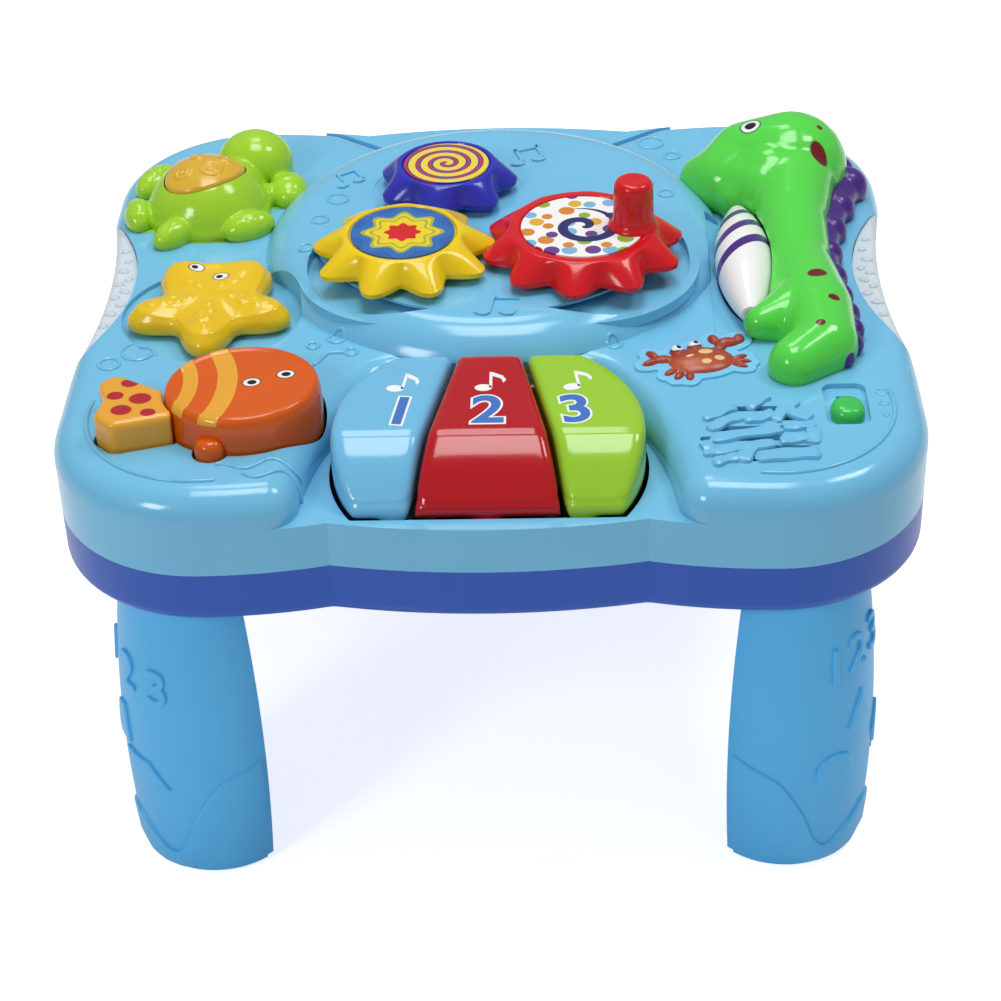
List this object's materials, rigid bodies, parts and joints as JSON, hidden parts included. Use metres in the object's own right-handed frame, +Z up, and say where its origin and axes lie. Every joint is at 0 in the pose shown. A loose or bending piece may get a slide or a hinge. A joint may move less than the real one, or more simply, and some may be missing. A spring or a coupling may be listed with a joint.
{
  "type": "activity table",
  "caption": "Sea-themed toddler activity table with meshing gears and crank, sound keys, press-down fish and turtle shell, spinning starfish, belly roller and pull-off legs.",
  "frame": {"origin": "on the floor under the middle of the table", "axes": "+X to the child's right along the table's width, +Y away from the child, +Z up"},
  "size_m": [0.26, 0.235, 0.1804],
  "materials": {
    "pale_blue_plastic": "smooth gloss moulding",
    "deep_blue_plastic": "smooth gloss moulding",
    "frosted_white_plastic": "frosted translucent moulding",
    "leg_blue_plastic": "satin moulding",
    "red_plastic": "gloss moulding",
    "yellow_plastic": "gloss moulding",
    "blue_plastic": "gloss moulding",
    "printed_label": "printed film label",
    "sky_key_plastic": "gloss moulding",
    "red_key_plastic": "gloss moulding",
    "lime_key_plastic": "gloss moulding",
    "orange_plastic": "gloss moulding",
    "amber_plastic": "translucent amber moulding",
    "turtle_green_plastic": "gloss moulding",
    "seahorse_green_plastic": "gloss moulding",
    "purple_plastic": "gloss moulding",
    "crab_red_plastic": "painted relief",
    "white_plastic": "gloss moulding",
    "switch_green_plastic": "gloss moulding",
    "steel": "plated",
    "board_green": "solder-masked board",
    "dome_rubber": "translucent silicone",
    "speaker_black": "matt black",
    "cell_steel": "plain wrapped cell"
  },
  "bodies": {
    "casing": {"top_casing": "pale_blue_plastic", "bottom_casing": "deep_blue_plastic", "left_side_panel": "frosted_white_plastic", "right_side_panel": "frosted_white_plastic", "casing_screws": "steel", "key_hinge_rod": "steel", "key_board": "board_green", "key_domes": "dome_rubber", "fish_switch_board": "board_green", "fish_dome": "dome_rubber", "shell_switch_board": "board_green", "shell_dome": "dome_rubber", "turtle_body": "turtle_green_plastic", "seahorse_body": "seahorse_green_plastic", "roller_axle": "steel", "seahorse_fin": "purple_plastic", "figure_screws": "steel", "crab_badge": "crab_red_plastic", "speaker": "speaker_black", "speaker_clamp": "white_plastic", "speaker_screws": "steel", "slide_switch": "speaker_black", "main_board": "board_green", "sound_chip": "speaker_black", "board_screws": "steel", "aa_cells": "cell_steel", "battery_contacts": "steel"},
    "red_gear": {"red_gear": "red_plastic", "crank_knob": "red_plastic", "red_gear_label": "printed_label", "red_gear_screw": "steel"},
    "yellow_gear": {"yellow_gear": "yellow_plastic", "yellow_gear_label": "printed_label", "yellow_gear_screw": "steel"},
    "blue_gear": {"blue_gear": "blue_plastic", "blue_gear_label": "printed_label", "blue_gear_screw": "steel"},
    "left_key": {"left_key": "sky_key_plastic"},
    "middle_key": {"middle_key": "red_key_plastic"},
    "right_key": {"right_key": "lime_key_plastic"},
    "fish_button": {"fish_body": "orange_plastic", "fish_tail": "amber_plastic", "fish_stripes": "amber_plastic"},
    "shell_button": {"turtle_shell": "amber_plastic"},
    "starfish": {"starfish": "yellow_plastic", "starfish_screw": "steel"},
    "belly_roller": {"belly_roller": "white_plastic"},
    "power_switch": {"power_switch_knob": "switch_green_plastic"},
    "battery_door": {"battery_door": "deep_blue_plastic", "battery_door_screw": "steel"},
    "front_left_leg": {"front_left_leg": "leg_blue_plastic"},
    "front_right_leg": {"front_right_leg": "leg_blue_plastic"},
    "back_left_leg": {"back_left_leg": "leg_blue_plastic"},
    "back_right_leg": {"back_right_leg": "leg_blue_plastic"}
  },
  "joints": [
    {"name": "red_gear_turn", "type": "hinge", "parent": "casing", "child": "red_gear", "pos_m": [0.02897, 0.00399, 0.155], "axis": [0, 0, 1], "continuous": true},
    {"name": "yellow_gear_turn", "type": "hinge", "parent": "casing", "child": "yellow_gear", "pos_m": [-0.028, 0.002, 0.155], "axis": [0, 0, 1], "continuous": true},
    {"name": "blue_gear_turn", "type": "hinge", "parent": "casing", "child": "blue_gear", "pos_m": [-0.01558, 0.04836, 0.155], "axis": [0, 0, 1], "continuous": true},
    {"name": "left_key_press", "type": "hinge", "parent": "casing", "child": "left_key", "pos_m": [-0.027, -0.053, 0.14], "axis": [1, 0, 0], "range_deg": [0, 4], "stiffness_Nm_per_rad": 0.4, "springref_deg": -8.02, "deforming": ["key_domes"]},
    {"name": "middle_key_press", "type": "hinge", "parent": "casing", "child": "middle_key", "pos_m": [0, -0.053, 0.14], "axis": [1, 0, 0], "range_deg": [0, 4], "stiffness_Nm_per_rad": 0.4, "springref_deg": -8.02, "deforming": ["key_domes"]},
    {"name": "right_key_press", "type": "hinge", "parent": "casing", "child": "right_key", "pos_m": [0.027, -0.053, 0.14], "axis": [1, 0, 0], "range_deg": [0, 4], "stiffness_Nm_per_rad": 0.4, "springref_deg": -8.02, "deforming": ["key_domes"]},
    {"name": "fish_press", "type": "slide", "parent": "casing", "child": "fish_button", "axis": [0, 0, -1], "range_m": [0, 0.003], "stiffness_N_per_m": 400, "springref_m": -0.004, "deforming": ["fish_dome"]},
    {"name": "shell_press", "type": "slide", "parent": "casing", "child": "shell_button", "axis": [0, 0, -1], "range_m": [0, 0.0025], "stiffness_N_per_m": 300, "springref_m": -0.003, "deforming": ["shell_dome"]},
    {"name": "starfish_turn", "type": "hinge", "parent": "casing", "child": "starfish", "pos_m": [-0.0885, -0.014, 0.145], "axis": [0, 0, 1], "continuous": true},
    {"name": "roller_turn", "type": "hinge", "parent": "casing", "child": "belly_roller", "pos_m": [0.0802, 0.0035, 0.1505], "axis": [0, 1, 0], "continuous": true},
    {"name": "power_slide", "type": "slide", "parent": "casing", "child": "power_switch", "axis": [0, 1, 0], "range_m": [0, 0.008]},
    {"name": "battery_door_swing", "type": "hinge", "parent": "casing", "child": "battery_door", "pos_m": [0, 0.027, 0.10325], "axis": [1, 0, 0], "range_deg": [0, 95]},
    {"name": "front_left_leg_pull", "type": "slide", "parent": "casing", "child": "front_left_leg", "axis": [0, 0, -1], "range_m": [0, 0.015]},
    {"name": "front_right_leg_pull", "type": "slide", "parent": "casing", "child": "front_right_leg", "axis": [0, 0, -1], "range_m": [0, 0.015]},
    {"name": "back_left_leg_pull", "type": "slide", "parent": "casing", "child": "back_left_leg", "axis": [0, 0, -1], "range_m": [0, 0.015]},
    {"name": "back_right_leg_pull", "type": "slide", "parent": "casing", "child": "back_right_leg", "axis": [0, 0, -1], "range_m": [0, 0.015]}
  ],
  "couplings": [
    {"joint": "yellow_gear_turn", "follows": "red_gear_turn", "ratio": -1.1111},
    {"joint": "blue_gear_turn", "follows": "red_gear_turn", "ratio": 1.4286}
  ]
}
